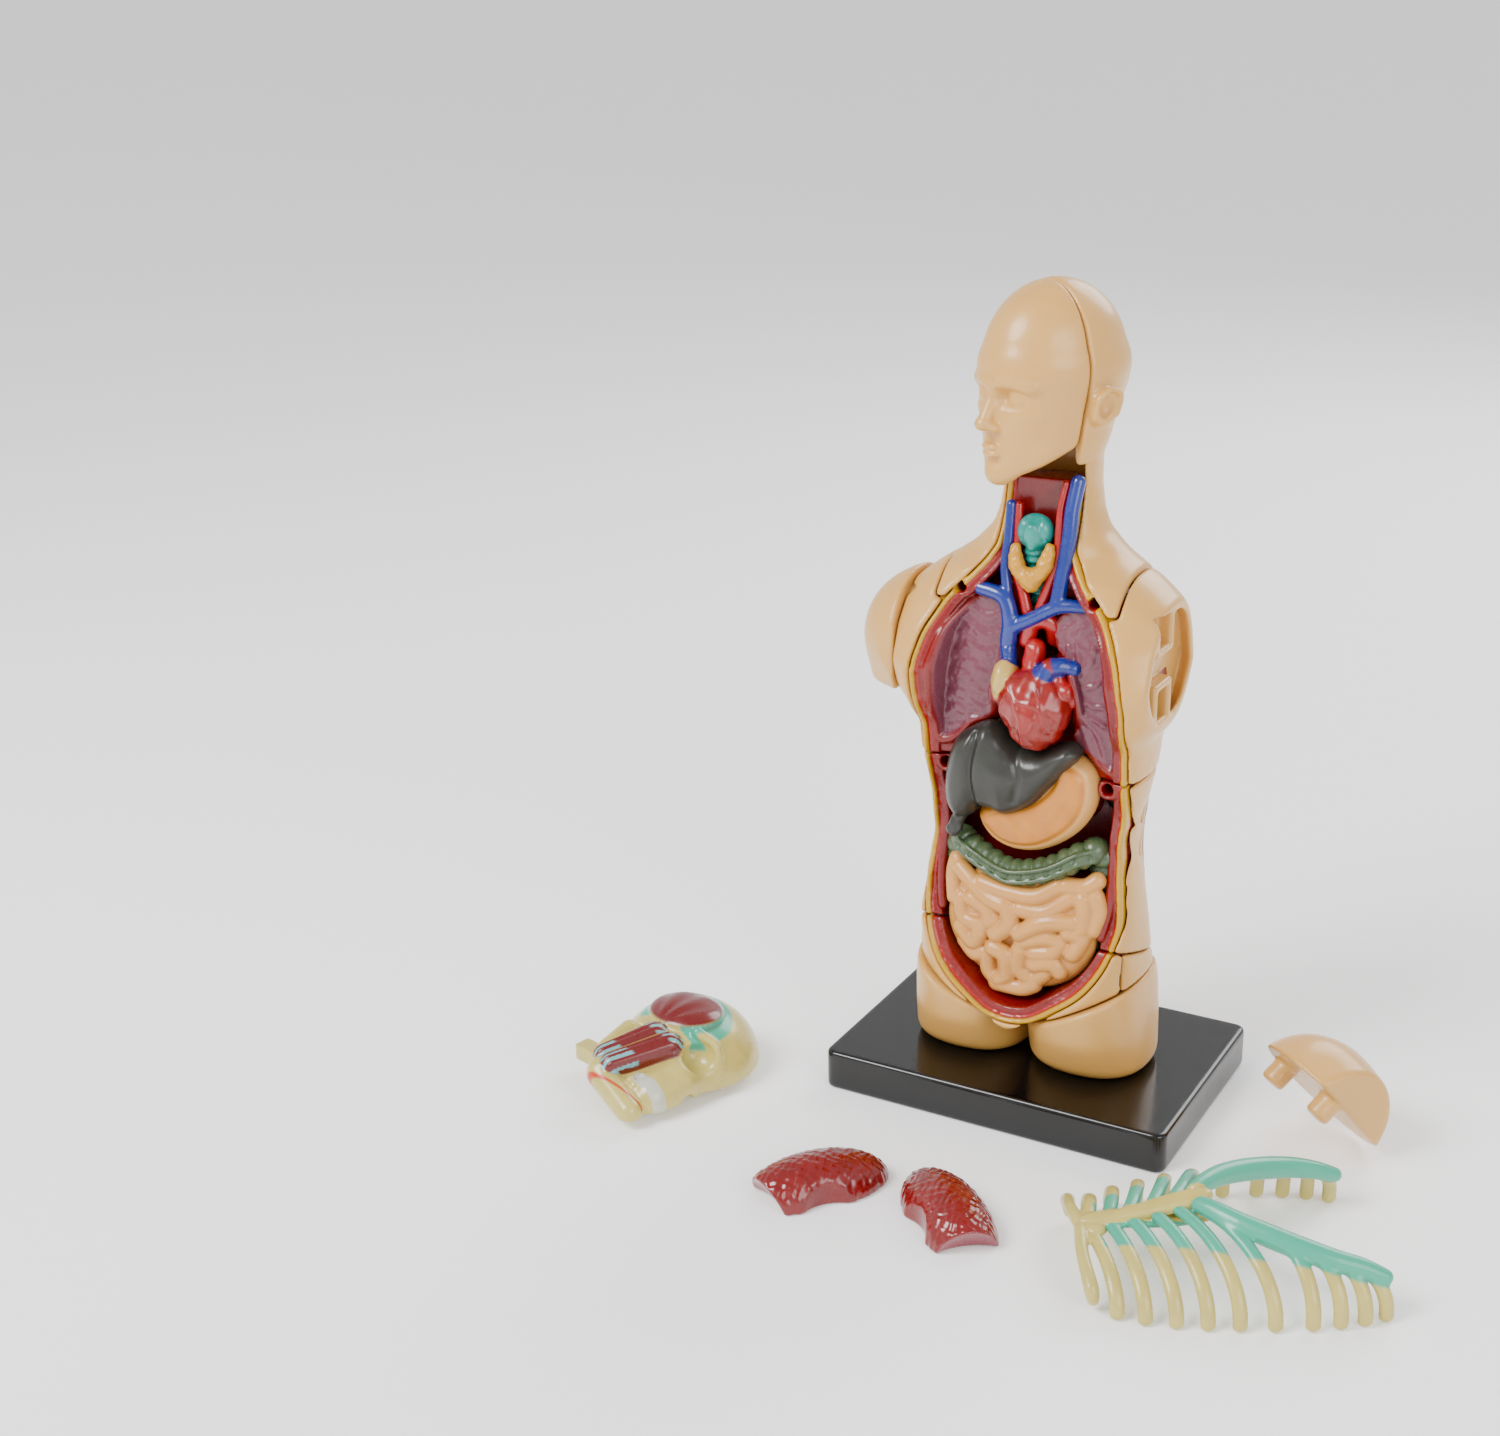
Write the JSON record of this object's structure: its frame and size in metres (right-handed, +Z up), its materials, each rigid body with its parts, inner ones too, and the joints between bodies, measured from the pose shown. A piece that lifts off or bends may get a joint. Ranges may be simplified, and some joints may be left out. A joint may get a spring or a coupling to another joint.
{
  "type": "torso anatomy model",
  "caption": "Desk-size human torso on a rectangular base, open at the front, with organs and shells that lift out.",
  "frame": {"origin": "middle of the flat underside of the display base", "axes": "+Z up, -Y the way the chest faces, +X towards the model's own left"},
  "size_m": [0.1192, 0.0685, 0.1143],
  "materials": {
    "base_black": "high-gloss black injection moulding",
    "skin": "satin skin-toned moulding with a soft sheen",
    "liner": "glossy maroon, purple on the lung relief",
    "kidney": "glossy",
    "spleen": "glossy",
    "pancreas": "satin",
    "bladder": "satin",
    "cartilage": "glossy teal",
    "thyroid": "satin tan",
    "vessels": "glossy blue veins and red arteries",
    "heart": "glossy red",
    "liver": "charcoal with a soft sheen",
    "stomach": "satin tan",
    "small_gut": "satin peach",
    "large_gut": "satin grey-green",
    "lung": "glossy red-brown",
    "bone": "cream with green cartilage ends",
    "skull": "cream with painted muscle",
    "brain": "satin pink"
  },
  "bodies": {
    "stand": {"display_base": "base_black", "right_thigh": "skin", "left_thigh": "skin", "pelvis_front": "skin", "pelvis_back": "skin", "abdomen_shell": "skin", "chest_shell": "skin", "neck_shell": "skin", "head_back": "skin", "chest_liner": "liner", "abdomen_liner": "liner", "pelvis_liner": "liner", "right_kidney": "kidney", "left_kidney": "kidney", "spleen": "spleen", "pancreas": "pancreas", "bladder": "bladder"},
    "brain": {"right_brain": "brain", "left_brain": "brain"},
    "face": {"face_shell": "skin"},
    "right_arm_piece": {"right_arm": "skin"},
    "throat": {"trachea_larynx": "cartilage", "thyroid": "thyroid", "great_vessels": "vessels"},
    "colon": {"large_intestine": "large_gut"},
    "gut": {"small_intestine": "small_gut"},
    "stomach_piece": {"stomach": "stomach"},
    "liver_piece": {"liver": "liver", "gallbladder": "liver"},
    "heart_piece": {"heart": "heart"},
    "left_arm_piece": {"left_arm": "skin"},
    "ribs": {"rib_cage": "bone", "sternum": "bone"},
    "skull": {"skull_half": "skull"},
    "right_lung": {"right_lung_front": "lung"},
    "left_lung": {"left_lung_front": "lung"}
  },
  "joints": [
    {"name": "brain_lift_out", "type": "slide", "parent": "stand", "child": "brain", "axis": [-0.4695, -0.8829, 0], "range_m": [0, 0.03]},
    {"name": "face_pull_off", "type": "slide", "parent": "brain", "child": "face", "axis": [-0.4695, -0.8829, 0], "range_m": [0, 0.025]},
    {"name": "right_arm_pull_off", "type": "slide", "parent": "stand", "child": "right_arm_piece", "axis": [-1, 0, 0], "range_m": [0, 0.012]},
    {"name": "throat_lift_out", "type": "slide", "parent": "stand", "child": "throat", "axis": [0, -1, 0], "range_m": [0, 0.02]},
    {"name": "colon_lift_out", "type": "slide", "parent": "stand", "child": "colon", "axis": [0, -1, 0], "range_m": [0, 0.02]},
    {"name": "gut_lift_out", "type": "slide", "parent": "colon", "child": "gut", "axis": [0, -1, 0], "range_m": [0, 0.02]},
    {"name": "stomach_lift_out", "type": "slide", "parent": "colon", "child": "stomach_piece", "axis": [0, -1, 0], "range_m": [0, 0.02]},
    {"name": "liver_lift_out", "type": "slide", "parent": "stomach_piece", "child": "liver_piece", "axis": [0, -1, 0], "range_m": [0, 0.02]},
    {"name": "heart_lift_out", "type": "slide", "parent": "liver_piece", "child": "heart_piece", "axis": [0, -1, 0], "range_m": [0, 0.02]},
    {"name": "left_arm_pick_up", "type": "slide", "parent": "stand", "child": "left_arm_piece", "axis": [0, 0, 1], "range_m": [0, 0.04]},
    {"name": "rib_cage_pick_up", "type": "slide", "parent": "stand", "child": "ribs", "axis": [0, 0, 1], "range_m": [0, 0.04]},
    {"name": "skull_pick_up", "type": "slide", "parent": "stand", "child": "skull", "axis": [0, 0, 1], "range_m": [0, 0.04]},
    {"name": "right_lung_pick_up", "type": "slide", "parent": "stand", "child": "right_lung", "axis": [0, 0, 1], "range_m": [0, 0.012]},
    {"name": "left_lung_pick_up", "type": "slide", "parent": "stand", "child": "left_lung", "axis": [0, 0, 1], "range_m": [0, 0.012]}
  ]
}
